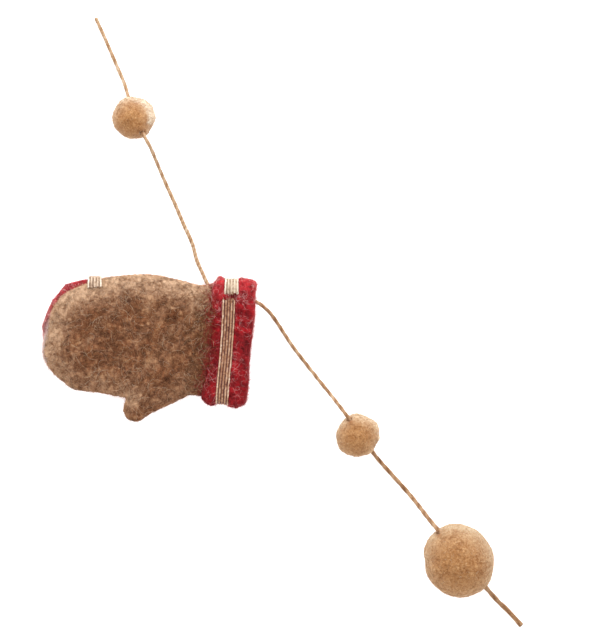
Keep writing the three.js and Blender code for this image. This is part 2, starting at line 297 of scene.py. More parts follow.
def fibreMaterial(name, stops):
    material, tree = newMaterial(name)
    flicker = addNoise(tree, readPlace(tree), 900.0, 1.0)
    flicker = addMath(tree, "MULTIPLY", addMath(tree, "SUBTRACT", flicker, 0.5), 0.3)
    own = addRamp(tree, addMath(tree, "ADD", readValue(tree, "tone"), flicker), stops)
    colour = addMix(tree, readValue(tree, "share"), own, linear(redWool))
    addShader(tree, {"Base Color": colour, "Roughness": 0.85, "Specular IOR Level": 0.15})
    return material


# Felt

def feltFromNode(nodeName, name, look, materialName):
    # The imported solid's own form, with the uneven surface of hand-made felt
    piece = addObject(name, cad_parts[nodeName].data.copy())
    makeActive(piece)
    bpy.ops.object.mode_set(mode="EDIT")
    bpy.ops.mesh.select_all(action="SELECT")
    bpy.ops.mesh.remove_doubles(threshold=0.02 * mm)
    bpy.ops.object.mode_set(mode="OBJECT")
    applyModifier(piece, "REMESH", mode="VOXEL", voxel_size=look["voxel"])
    applyModifier(piece, "SMOOTH", factor=0.5, iterations=look["smoothing"])
    ruffle(piece, look)
    piece.data.materials.clear()
    piece.data.materials.append(feltMaterial(materialName, look))
    makeActive(piece)
    bpy.ops.object.shade_smooth()
    return piece


def lumps(place, spots):
    # Each spot is x, y and radius in millimetres, and how far the felt bulges there
    return sum(nearness(place, x, y, radius) * height * mm for x, y, radius, height in spots)


def leaning(normal, x, y):
    # How far a normal leans sideways, and how much of that is towards (x, y), from -1 to 1
    sideways = math.hypot(normal.x, normal.y) + 1e-6
    return sideways, (normal.x * x + normal.y * y) / (sideways * math.hypot(x, y))


def nowhere(place):
    return 0.0


plainFelt = {
    "smoothing": 2, "flatBelow": True, "pulls": [], "shadeAt": nowhere, "redAt": nowhere,
    "fineScale": 2.7, "fineShare": 0.55,  # small lumps against the wide ones
    "bump": 0.8, "bumpDepth": 0.5 * mm,
}


def ruffle(piece, look):
    mesh = piece.data
    clumpsAndShade = mesh.attributes.new("clumpAndShade", "FLOAT", "POINT")
    reds = mesh.attributes.new("redShare", "FLOAT", "POINT")
    pales = mesh.attributes.new("pale", "FLOAT", "POINT")
    places = [vertex.co.copy() for vertex in mesh.vertices]
    normals = [vertex.normal.copy() for vertex in mesh.vertices]
    for k, (place, normal) in enumerate(zip(places, normals)):
        spot = place / look["clumpSize"]
        wide = noise.noise(spot + Vector((3.1, 7.7, look["seed"])))
        fine = noise.noise(spot * look["fineScale"] + Vector((9.2, 1.3, look["seed"])))
        height = wide + look["fineShare"] * fine
        share = toUnit(1.5 * normal.z + 0.9) if look["flatBelow"] else 1.0
        swell = look["swellAt"](place, normal)
        moved = place + normal * (height * share * look["clumpHeight"] + swell)
        for x, y, radius, pull in look["pulls"]:
            moved += Vector(pull) * (nearness(place, x, y, radius) * mm)
        moved.z = max(moved.z, 0.0)
        mesh.vertices[k].co = moved
        # Painted shade: the clump value, which darkens the felt, is lowered in hollows where the felt is drawn in,
        # and by shadeAt
        hollow = min(0.0, 0.8 * swell / mm)
        clumpsAndShade.data[k].value = 0.5 + 0.6 * height + hollow - look["shadeAt"](place)
        reds.data[k].value = look["redAt"](place)
        pales.data[k].value = look["paleAt"](place, normal)
    mesh.update()


def surfaceOf(*felts):
    # One search tree over several felt pieces
    points, faces = [], []
    for felt in felts:
        first = len(points)
        points += [vertex.co.copy() for vertex in felt.data.vertices]
        faces += [tuple(first + v for v in polygon.vertices) for polygon in felt.data.polygons]
    return BVHTree.FromPolygons(points, faces)


def scatter(felt, count, chance, dice):
    # Places spread over the felt by area, kept with the chance that each place has
    mesh = felt.data
    mesh.calc_loop_triangles()
    triangles = [tuple(t.vertices) for t in mesh.loop_triangles]
    totals = list(itertools.accumulate(t.area for t in mesh.loop_triangles))
    points = [vertex.co.copy() for vertex in mesh.vertices]
    normals = [vertex.normal.copy() for vertex in mesh.vertices]
    found = []
    while len(found) < count:
        corners = triangles[min(bisect.bisect(totals, dice.random() * totals[-1]), len(totals) - 1)]
        a, b = dice.random(), dice.random()
        if a + b > 1:
            a, b = 1 - a, 1 - b
        shares = (1 - a - b, a, b)
        place = sum((points[c] * s for c, s in zip(corners, shares)), Vector())
        normal = sum((normals[c] * s for c, s in zip(corners, shares)), Vector()).normalized()
        if dice.random() < chance(place, normal):
            found.append((place, normal))
    return found


fibreSides = 3


def layFibre(shape, surface, place, up, look, tone, red, dice):
    # A fibre that winds over the felt, its ends sunk in and its middle a little raised
    steps = look["steps"]
    step = dice.uniform(*look["length"]) * mm / steps
    rise = abs(dice.gauss(0, look["rise"])) * mm + 0.05 * mm
    radius = dice.uniform(*look["radius"]) * mm
    turning = dice.gauss(0, look["curl"])
    heading = up.orthogonal().normalized()
    angle = dice.uniform(0, 2 * math.pi)
    if "aim" in look:
        heading = look["aim"] - up * look["aim"].dot(up)
        angle = dice.choice((0, math.pi)) + dice.gauss(0, look["aimSpread"])
    heading.rotate(Matrix.Rotation(angle, 3, up))
    path, ups, radii = [], [], []
    for k in range(steps + 1):
        arch = math.sin(math.pi * k / steps)
        path.append(place + up * (rise * arch + (arch - 0.6) * 0.15 * mm))
        ups.append(up)
        radii.append(radius * (0.55 + 0.45 * arch))
        heading.rotate(Matrix.Rotation(turning, 3, up))
        turning += dice.gauss(0, look["curl"] * 0.7)
        found = surface.find_nearest(place + heading * step)
        place, up = found[0], (up + found[1]).normalized()
        heading = (heading - up * heading.dot(up)).normalized()
    addStrand(shape, aboveFloor(path, 0.03), ups, radii, fibreSides, tone, share=red)


def raiseFibre(shape, place, up, look, tone, red, dice):
    # A short hair that stands off the felt
    side = up.orthogonal().normalized()
    side.rotate(Matrix.Rotation(dice.uniform(0, 2 * math.pi), 3, up))
    length = dice.uniform(*look["length"]) * mm
    lean = dice.uniform(*look["lean"])
    bend = dice.gauss(0, look["curl"])
    radius = dice.uniform(*look["radius"]) * mm
    path, at = [], place - up * (0.1 * mm)
    steps = look["steps"]
    for k in range(steps + 1):
        path.append(at)
        angle = lean + bend * k
        at = at + (up * math.cos(angle) + side * math.sin(angle)) * (length / steps)
    radii = [radius * (1 - 0.5 * k / steps) for k in range(steps + 1)]
    addStrand(shape, aboveFloor(path, 0.02), [up.cross(side)] * (steps + 1), radii, fibreSides, tone,
              share=red)


def toneAt(place, wool, look, lift, dice):
    drift = noise.noise(place / (wool.get("toneSize", 4.0) * mm) + Vector((0.0, 0.0, wool["toneSeed"])))
    base = 0.85 if dice.random() < look["pale"] else 0.35
    # Fibres carry the felt's painted light: lift, the pale value where they grow, makes them paler
    return toUnit(base + 0.35 * drift + 0.42 * lift + dice.gauss(0, look["spread"]))


def growFibres(name, felt, surface, wool, material, paleAt, redAt=None):
    dice = random.Random(wool["seed"])
    shape = newShape()
    for look in wool["kinds"]:
        for place, up in scatter(felt, look["count"], look["chance"], dice):
            tone = toneAt(place, wool, look, paleAt(place, up), dice)
            red = 1.0 if redAt and dice.random() < redAt(place) else 0.0
            if "lean" in look:
                raiseFibre(shape, place, up, look, tone, red, dice)
            else:
                layFibre(shape, surface, place, up, look, tone, red, dice)
    return shapePiece(shape, name, material)


def facingUp(place, normal):
    return 1.0 if normal.z > -0.1 else 0.15


def nearRim(place, normal):
    return 1.0 if -0.5 < normal.z < 0.75 else 0.12


def everywhere(place, normal):
    return 1.0


# What most fibres share; length, rise and radius are in millimetres
lying = {"steps": 6, "curl": 0.3, "radius": (0.03, 0.05), "chance": facingUp, "spread": 0.1}
standing = {"steps": 3, "curl": 0.35, "lean": (0.3, 1.3), "radius": (0.03, 0.05), "chance": nearRim,
            "spread": 0.1}


# Mitten front

wristLine = [
    (-0.040, 0.0225), (-0.0261, 0.0237), (-0.0146, 0.0265), (-0.0028, 0.0281), (0.0174, 0.0284),
    (0.040, 0.0296)]  # Y and X in metres


def wristAt(y):
    # X of the line where the brown hand meets the red cuff
    return readTable(wristLine, y)[0]


def redNearWrist(place):
    gap = wristAt(place.y) - place.x
    ragged = gap + 1.4 * mm * noise.noise(place / (2.6 * mm))
    return max(0.0, min(0.9, 1 - ragged / (1.9 * mm)))


# X of the left edge, Y of the thumb's top and Z of the front's flat part
leftX, thumbY, flatZ = -45 * mm, -28 * mm, 9.4 * mm


def frontPaintedLight(place, normal):
    # Painted light: paler where the front rounds over to its edges, most at the upper and left ones
    towards = leaning(normal, -0.45, 0.89)[1]
    depth = toUnit((flatZ - place.z) / (2.6 * mm))
    thumb = toUnit((thumbY - place.y) / (5 * mm))
    return max(depth * toUnit(0.6 + 0.38 * towards) * (1 - 0.7 * thumb), 0.9 * leftGlow(place))


# Painted light along the left edge, most near its middle
def leftGlow(place):
    return toUnit((leftX - place.x) / (4 * mm)) * max(0.0, 1 - abs(place.y + 2 * mm) / (16 * mm))


def wristShade(place):
    # Both felts are darker where they meet, apart from the lit upper end
    gap = (wristAt(place.y) - place.x) / mm
    lit = toUnit((place.y / mm - 14) / 6)
    return (1 - lit) * (0.62 * max(0.0, 1 - gap / 13) if gap > 0 else 0.34 * max(0.0, 1 + gap / 4.5))


def inWristTuft(place, normal):
    return 1.0 if normal.z > 0 and awayFrom(place, 27.0, 16.5) < 5 else 0.0


def atWrist(place, normal):
    return 1.0 if normal.z > -0.1 and abs(wristAt(place.y) - place.x) < 3 * mm else 0.0


def wristSwell(place):
    # The two felts are drawn together along the wrist line
    return max(0.0, 1 - abs(wristAt(place.y) - place.x) / (3 * mm)) * 0.32 * mm


def frontSwell(place, normal):
    outwards = 1 - abs(normal.z) if place.y < 0 or place.x > -25 * mm else 0.0
    return wristSwell(place) + lumps(place, frontSpots + thumbSpots) + 0.25 * mm * outwards


# The notch between thumb and fingers: x, y and radius in millimetres, with the bulge or the pull there
thumbSpots = [(-12.6, -31.5, 1.8, -0.4), (-16.5, -26.0, 3.5, 0.3)]
frontPulls = [(-12.7, -28.6, 2.3, (1.5, 1.2, 0.0))]
backPulls = [(-12.2, -28.6, 2.3, (1.2, 1.1, 0.0))]
frontSpots = [(-13.0, -32.5, 2.6, 0.3), (-6.0, -37.5, 4.0, 0.2), (-21.5, 28.8, 3.0, 0.3)]


frontFelt = dict(
    plainFelt, voxel=0.6 * mm, seed=1.0, clumpSize=2.1 * mm, clumpHeight=0.3 * mm,
    swellAt=frontSwell, shadeAt=wristShade, pulls=frontPulls,
    patchScale=170.0, grainScale=680.0, strandScale=460.0, mix=(0.44, 0.18, 0.38),
    colours=[(0.37, (62, 28, 13)), (0.46, (96, 51, 28)), (0.55, (132, 80, 49)), (0.65, (178, 130, 92))],
    strandColour=(184, 138, 100), strandShare=1.15, red=(122, 26, 30), redAt=redNearWrist,
    bump=0.65, sheen=0.12, sheenColour=(245, 215, 185),
    paleColour=(224, 187, 153), paleShare=0.96, paleAt=frontPaintedLight)


def atUpperLeft(place, normal):
    # Along the edge where the red back shows past the front
    edge = leaning(normal, -0.7, 0.7)[1] > 0.3 and normal.z < 0.7
    return 1.0 if edge and place.x < -21 * mm and place.y > -8 * mm else 0.0


frontFibres = {"seed": 11, "toneSize": 5.0, "toneSeed": 2.0, "kinds": [
    dict(lying, count=3900, length=(3.0, 9.0), rise=0.1, radius=(0.035, 0.065), pale=0.09,
         spread=0.16),
    dict(lying, count=260, length=(5.0, 13.0), steps=9, curl=0.2, rise=0.35, pale=1.0),
    dict(standing, count=4600, length=(0.7, 2.1), lean=(0.4, 1.3), pale=0.4),
]}
brownStops = [(0.0, (72, 36, 18)), (0.35, (128, 80, 49)), (0.65, (170, 121, 83)), (1.0, (224, 192, 162))]
brownFibre = fibreMaterial("brownFibre", brownStops)
front = feltFromNode("hand_front", "mitten_front", frontFelt, "brownFelt")
print("mitten front felted")

# Mitten back

def backSwell(place, normal):
    # The rim that shows past the front is drawn in a little
    rim = -0.3 * mm if place.x < -20 * mm and place.y > -6 * mm else 0.0
    return rim + lumps(place, thumbSpots)


def backPaintedLight(place, normal):
    # Painted light: paler on the left part of the back, more so lower down, and a little paler everywhere else
    return toUnit((16 * mm - place.y) / (12 * mm)) if place.x < -30 * mm else 0.15


def leftEdge(place, normal):
    return 1.0 if place.x < leftX and -16 * mm < place.y < 9 * mm and normal.z > -0.4 else 0.0


backFelt = dict(
    plainFelt, voxel=0.7 * mm, seed=5.0, clumpSize=2.6 * mm, clumpHeight=0.16 * mm,
    swellAt=backSwell, pulls=backPulls,
    patchScale=190.0, grainScale=600.0, strandScale=380.0, mix=(0.5, 0.2, 0.3),
    colours=[(0.34, (110, 18, 26)), (0.45, (160, 32, 42)), (0.56, (188, 50, 58)), (0.7, (206, 84, 86))],
    strandColour=(228, 150, 150), strandShare=1.4, sheen=0.4, sheenColour=(250, 215, 212),
    paleColour=(222, 184, 178), paleShare=0.9, paleAt=backPaintedLight)
back = feltFromNode("hand_back", "mitten_back", backFelt, "redFelt")
print("mitten back felted")

# Cuff

def cuffPaintedLight(place, normal):
    # Painted light: brighter towards its upper edge, which faces the light, and its rounded mouth
    upper = toUnit((place.y - 14 * mm) / (14 * mm))
    mouth = toUnit((place.x - 46 * mm) / (4 * mm))
    return max(upper, 0.6 * mouth) if normal.z > -0.3 else 0.2


def cuffSwell(place, normal):
    # Fuller along its mouth and lower edge, with a hollow under the cut ends of its ribbon
    mouth = toUnit((place.x / mm - 42) / 3) * toUnit((20 - place.y / mm) / 6)
    lower = toUnit((-27 - place.y / mm) / 3) if place.x > 28 * mm else 0.0
    hollow = lumps(place, cuffHollow) if normal.z > 0.2 else 0.0
    return wristSwell(place) + lumps(place, cuffSpots) + max(mouth, lower) * 0.4 * mm + hollow


cuffSpots = [(49.6, 28.4, 4.5, 0.9), (31.8, 30.2, 3.2, 0.9), (44.0, 29.5, 3.5, 0.3), (24.4, -28.4, 3.0, -0.5)]
cuffHollow = [(38.8, 20.4, 3.0, -1.3), (35.2, 20.6, 2.0, -0.6)]
# Where pale wisps gather: X, Y and radius in millimetres
tufts = [
    (36.0, 20.6, 2.2), (30.5, 16.5, 4.0), (30.3, -11.5, 3.0), (41.0, 9.5, 4.0), (41.5, -12.5, 6.0),
    (45.5, 20.0, 4.0)]


def inTufts(place, normal):
    near = any(awayFrom(place, x, y) < radius for x, y, radius in tufts)
    return 1.0 if near and normal.z > 0.2 else 0.0


cuffFelt = dict(
    plainFelt, voxel=0.6 * mm, seed=8.0, flatBelow=False, clumpSize=2.2 * mm, clumpHeight=0.36 * mm,
    swellAt=cuffSwell, shadeAt=wristShade,
    patchScale=120.0, grainScale=620.0, strandScale=420.0, mix=(0.5, 0.2, 0.3),
    colours=[(0.36, (74, 4, 9)), (0.46, (116, 10, 18)), (0.56, (158, 18, 27)), (0.7, (206, 36, 42))],
    strandColour=(202, 72, 74), strandShare=0.8, sheen=0.15, sheenColour=(250, 195, 192),
    paleColour=(216, 60, 66), paleShare=0.75, paleAt=cuffPaintedLight)
cuff = feltFromNode("cuff", "cuff_felt", cuffFelt, "cuffRed")
print("cuff felted")


def atLeftEdge(place, normal):
    return leftGlow(place) if normal.z < 0.85 else 0.0


crossing = dict(lying, rise=0.25, radius=(0.05, 0.08), chance=atWrist, aim=Vector((1, 0, 0)), aimSpread=0.6)
cuffFibres = {"seed": 12, "toneSeed": 4.0, "kinds": [
    dict(lying, count=1900, length=(2.5, 7.0), curl=0.32, rise=0.12, radius=(0.035, 0.06), pale=0.04),
    dict(lying, count=260, length=(3.5, 9.0), steps=8, curl=0.36, rise=0.4, pale=1.0),
    dict(standing, count=3400, length=(0.8, 2.4), curl=0.4, lean=(0.3, 1.2), radius=(0.035, 0.06),
         pale=0.3),
    dict(lying, count=210, length=(2.0, 6.0), steps=7, curl=0.5, rise=0.5, radius=(0.025, 0.045),
         chance=inTufts, pale=1.0),
    dict(crossing, count=420, length=(3.0, 7.0), pale=0.12),
]}
backFibres = {"seed": 13, "toneSeed": 6.0, "kinds": [
    dict(lying, count=700, length=(2.0, 6.0), curl=0.5, rise=0.15, radius=(0.06, 0.11),
         chance=everywhere, pale=0.2),
    dict(standing, count=1500, length=(0.6, 1.6), lean=(0.4, 1.3), radius=(0.05, 0.08), pale=0.35),
    dict(standing, count=420, length=(1.2, 2.8), curl=0.3, lean=(0.2, 1.2), radius=(0.035, 0.06),
         chance=leftEdge, pale=1.0),
]}
wristFibres = {"seed": 14, "toneSeed": 3.0, "kinds": [
    dict(crossing, count=700, length=(3.0, 8.0), pale=0.08),
    dict(lying, count=60, length=(2.5, 7.0), steps=7, curl=0.45, rise=0.5, radius=(0.025, 0.045),
         chance=inWristTuft, pale=1.0),
]}
# Pale pinkish fibres standing off the left edge of the front, spread by its painted light there (leftGlow)
edgeFibres = {"seed": 15, "toneSize": 5.0, "toneSeed": 7.0, "kinds": [
    dict(standing, count=1500, length=(0.8, 2.4), radius=(0.025, 0.045), chance=atLeftEdge,
         pale=0.5)]}
rimFibres = {"seed": 16, "toneSeed": 7.0, "kinds": [
    dict(standing, count=420, length=(0.6, 1.7), curl=0.4, chance=atUpperLeft, pale=0.35)]}
edgeStops = [(0.0, (198, 158, 148)), (1.0, (240, 222, 214))]
redStops = [(0.0, (88, 6, 11)), (0.35, (156, 20, 28)), (0.68, (204, 70, 74)), (1.0, (238, 182, 178))]
redFibre = fibreMaterial("redFibre", redStops)
edgeFibre = fibreMaterial("edgeFibre", edgeStops)
mitten = surfaceOf(front, cuff)
frontWool = growFibres(
    "mitten_front_fibres", front, mitten, frontFibres, brownFibre, frontPaintedLight, redNearWrist)
wristWool = growFibres("wrist_fibres", front, mitten, wristFibres, brownFibre, frontPaintedLight, redNearWrist)
cuffWool = growFibres("cuff_fibres", cuff, mitten, cuffFibres, redFibre, cuffPaintedLight)
edgeWool = growFibres("edge_fibres", front, mitten, edgeFibres, edgeFibre, frontPaintedLight)
rimWool = growFibres("rim_fibres", front, mitten, rimFibres, redFibre, backPaintedLight)
backWool = growFibres("mitten_back_fibres", back, surfaceOf(back), backFibres, redFibre, backPaintedLight)
print("mitten fibres laid")


# Felt balls

def ballPaintedLight(place, normal):
    # Painted light: paler on the ball's rounded sides, most on the upper one, which faces the light
    sideways, towards = leaning(normal, 0.35, 0.94)
    tilt = 0.95 - normal.z + 0.2 * towards * sideways
    return toUnit(tilt / 0.75) ** 1.3 * (0.72 + 0.28 * towards)


def ballSwell(place, centre, look):
    # How far a ball is from round: each part of the form is a direction in degrees, its spread
    # and its bulge in millimetres
    away = place - centre
    angle = math.degrees(math.atan2(away.y, away.x))
    bulge = 0.0
    for direction, spread, height in look["form"]:
        turn = ((angle - direction + 180) % 360 - 180) / spread
        bulge += max(0.0, 1 - turn * turn) ** 2 * height * mm
    flat = math.hypot(away.x, away.y) / away.length
    return bulge * flat * flat + (0.4 * mm * atExit(place, look) if away.z > 0 else 0.0)


def atExit(place, look):
    # From 1 where the twine leaves the ball's upper side to 0 a little away from it
    return max(0.0, 1 - awayFrom(place, *look["exit"]) / 2.3)


ballFelt = dict(
    plainFelt, voxel=0.55 * mm, smoothing=3, seed=12.0, flatBelow=False,
    clumpSize=3.4 * mm, clumpHeight=0.18 * mm,
    patchScale=170.0, grainScale=1150.0, strandScale=800.0, mix=(0.2, 0.1, 0.7),
    colours=[(0.34, (132, 84, 44)), (0.44, (162, 110, 65)), (0.55, (186, 136, 88)), (0.67, (212, 168, 120))],
    strandColour=(212, 174, 134), strandShare=0.3,
    bump=0.55, bumpDepth=0.25 * mm, sheen=0.3, sheenColour=(250, 238, 218),
    # red here is the colour of the painted shade round the twine's exit
    paleShare=0.95, red=(146, 90, 46))
ballLooks = {
    "ball_small_1": {
        "count": 1400, "pale": 0.8, "paleColour": (228, 214, 192), "exit": (-3.4, 98.0), "crescent": (0.8, 0.6),
        "form": [(80, 25, -0.7), (157, 25, -0.6), (0, 16, 0.45), (32, 14, 0.35), (226, 20, -0.4), (325, 20, -0.45),
                 (275, 25, -0.25)]},
    "ball_small_2": {
        "count": 1400, "pale": 1.0, "paleColour": (218, 199, 170), "exit": (94.0, -37.9),
        "form": [(180, 22, 0.45), (216, 38, 1.15), (70, 26, -0.45), (2, 16, -0.55), (330, 22, -0.8), (282, 20, -0.4),
                 (32, 12, 0.4)]},
    "ball_large": {
        "count": 4400, "pale": 0.95, "paleColour": (206, 188, 158), "exit": (135.4, -91.0),
        "form": [(32, 32, -0.85), (0, 25, -0.55), (-22, 20, -0.5), (98, 32, 0.45), (148, 25, 0.35), (183, 18, -0.6),
                 (232, 28, -0.4), (275, 28, 0.4)]},
}
tanStops = [(0.0, (146, 92, 50)), (0.35, (182, 130, 84)), (0.7, (212, 172, 128)), (1.0, (240, 218, 186))]
tanFibre = fibreMaterial("tanFibre", tanStops)
balls, ballWool = [], []


def makeBall(nodeName, look, seed):
    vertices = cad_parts[nodeName].data.vertices
    centre = sum((vertex.co for vertex in vertices), Vector()) / len(vertices)

    def paleAt(place, normal):
        # Painted highlight: the first ball has a pale crescent on one side
        sideways, towards = leaning(normal, *look.get("crescent", (1.0, 0.0)))
        crescent = toUnit((sideways - 0.62) / 0.14) * toUnit((towards - 0.3) / 0.3)
        return min(1.0, max(ballPaintedLight(place, normal) * look["pale"], crescent if "crescent" in look else 0.0))

    def swellAt(place, normal):
        return ballSwell(place, centre, look)

    # Painted shade: darker orange-brown round the twine's exit on the upper side
    def redAt(place):
        return 1.2 * atExit(place, look) if place.z > centre.z else 0.0

    felt = dict(ballFelt, paleAt=paleAt, swellAt=swellAt, redAt=redAt, paleColour=look["paleColour"])
    ball = feltFromNode(nodeName, nodeName + "_felt", felt, nodeName + "_wool")
    fibres = {"seed": seed, "toneSeed": 9.0, "kinds": [
        dict(lying, count=look["count"], length=(0.8, 2.6), steps=4, curl=0.5, rise=0.08,
             radius=(0.03, 0.055), chance=everywhere, pale=0.06, spread=0.2),
        dict(standing, count=round(look["count"] * 1.3), length=(0.5, 1.4), curl=0.4,
             radius=(0.02, 0.035), chance=everywhere, pale=0.15, spread=0.2),
    ]}
    balls.append(ball)
    ballWool.append(growFibres(nodeName + "_fibres", ball, surfaceOf(ball), fibres, tanFibre, paleAt))


for index, (nodeName, look) in enumerate(ballLooks.items()):
    makeBall(nodeName, look, 21 + index)
print("balls felted")


# Woven ribbon

ribbon = {
    "cords": [  # place across the band, width, tone of each cord
        (-0.87, 0.8 * mm, 0.71), (-0.44, 0.86 * mm, 0.46), (0.0, 0.9 * mm, 0.44), (0.44, 0.88 * mm, 0.5),
        (0.87, 0.72 * mm, 0.65)],
    "stitch": 1.35 * mm,  # pitch of the twist along each cord
    "sides": 7,
    # place across the band and tone of the ground under each gap, with the two edges
    "gaps": [(-0.84, 0.2), (-0.65, -0.12), (-0.22, 0.0), (0.22, -0.05), (0.65, 0.0), (0.84, 0.2)],
    "proud": 0.12 * mm,  # how far the cords stand above the felt
    "thickness": 0.8 * mm,
    "colours": [(0.0, (74, 22, 16)), (0.2, (104, 58, 36)), (0.42, (158, 108, 76)), (0.75, (206, 168, 138)),
                (1.0, (240, 222, 200))],
    # Paler colours for the painted light on the ribbons' ends by the upper edges
    "paintedLitColours": [(0.0, (138, 112, 90)), (0.2, (176, 150, 126)), (0.4, (208, 186, 160)),
                 (0.7, (232, 216, 194)), (1.0, (250, 244, 230))],
}


def splinePoint(points, share):
    # The curve through the points that the source draws its edges with
    place = share * (len(points) - 1)
    k = min(int(place), len(points) - 2)
    t = place - k
    a, b, c, d = (points[min(max(k + j, 0), len(points) - 1)] for j in (-1, 0, 1, 2))
    return [
        0.5 * ((2 * q) + (r - p) * t + (2 * p - 5 * q + 4 * r - s) * t * t + (3 * q - p - 3 * r + s) * t ** 3)
        for p, q, r, s in zip(a, b, c, d)]


cuffShape = {  # millimetres, as in the source
    "upper": [(30.3, 27.0), (33.0, 29.6), (36.8, 28.9), (42.2, 29.0), (46.7, 28.8), (49.9, 26.6)],
    "lower": [(24.2, -28.1), (27.5, -30.8), (31.5, -30.0), (36.5, -30.7), (40.6, -32.1), (44.7, -29.7)],
    "wrist": [(24.2, -28.1), (26.1, -20.4), (27.8, -12.5), (28.8, -4.6), (29.2, 3.3), (29.3, 11.2),
              (29.3, 19.1), (30.3, 27.0)],
    "mouth": [(44.7, -29.7), (45.9, -20.3), (46.2, -10.9), (47.1, -1.6), (48.4, 7.8), (49.2, 17.2),
              (49.9, 26.6)],
    "halfHeight": 4.75, "halfWidth": 29.0,
}
# Share of the way round the cuff, the band's middle and half width along X
cuffBand = [(0.0765, 38.3, 3.4), (0.0, 38.2, 3.1), (-0.25, 36.0, 3.0), (-0.5, 33.7, 3.0), (-0.75, 36.1, 3.0),
            (-0.903, 37.1, 3.0)]


def cuffPlan(u, v):
    lower, upper = splinePoint(cuffShape["lower"], u), splinePoint(cuffShape["upper"], u)
    wrist, mouth = splinePoint(cuffShape["wrist"], v), splinePoint(cuffShape["mouth"], v)
    near = mixed(cuffShape["lower"][0], cuffShape["lower"][-1], u)
    far = mixed(cuffShape["upper"][0], cuffShape["upper"][-1], u)
    along, across, flat = mixed(lower, upper, v), mixed(wrist, mouth, u), mixed(near, far, v)
    return [p + q - r for p, q, r in zip(along, across, flat)]


def onCuff(u, turn, inset):
    half, width = cuffShape["halfHeight"], cuffShape["halfWidth"]
    end, quarter = width - half, math.pi * half / 2
    perimeter = 4 * quarter + 4 * end
    travelled = (turn - math.floor(turn)) * perimeter
    fromUpper = min(travelled, perimeter - travelled)
    angle = (min(fromUpper, quarter) + max(fromUpper - quarter - 2 * end, 0)) / half
    across = min(max(end + quarter - fromUpper, -end), end) + (half - inset) * math.cos(angle)
    rise = (half - inset) * math.sin(angle)
    inside = min(max(across / width, -1), 1)
    x, y = cuffPlan(min(max(u, 0), 1), 0.5 + 0.5 * inside)
    up = 1 if travelled < perimeter / 2 else -1
    return Vector((x, y + (across / width - inside) * width, half + up * rise)) * mm


def cuffBandPoint(share, across, lift):
    # share runs along the band, across from -1 to 1 over its width, lift is metres above the felt
    turn = cuffBand[0][0] + (cuffBand[-1][0] - cuffBand[0][0]) * share
    k = min(max(sum(station[0] >= turn for station in cuffBand), 1), len(cuffBand) - 1)
    a, b = cuffBand[k - 1], cuffBand[k]
    part = min(max((turn - a[0]) / (b[0] - a[0]), 0), 1)
    centre = splinePoint([(s[1],) for s in cuffBand], (k - 1 + part) / (len(cuffBand) - 1))[0]
    halfWidth = a[2] + (b[2] - a[2]) * part
    u = 0.5
    for _ in range(6):
        u += (centre + across * halfWidth - onCuff(u, turn, 0).x / mm) / 20
    return onCuff(u, turn, -lift / mm)


fingerFold = [(24.7, 7.55), (26.2, 7.1), (27.9, 6.3), (29.3, 5.0), (29.8, 3.2), (29.5, 1.4), (28.2, 0.42),
              (25.0, 0.4), (19.0, 0.4)]  # Y and Z along the middle of the short ribbon


def fingerBandPoint(share, across, lift):
    y, z = splinePoint(fingerFold, share)
    y1, z1 = splinePoint(fingerFold, min(share + 0.01, 1.0))
    y0, z0 = splinePoint(fingerFold, max(share - 0.01, 0.0))
    along = Vector((0, y1 - y0, z1 - z0)).normalized()
    outwards = Vector((0, -along.z, along.y))
    return Vector((-26.0 + across * 3.3, y, z)) * mm + outwards * (lift + ribbon["thickness"] / 2)


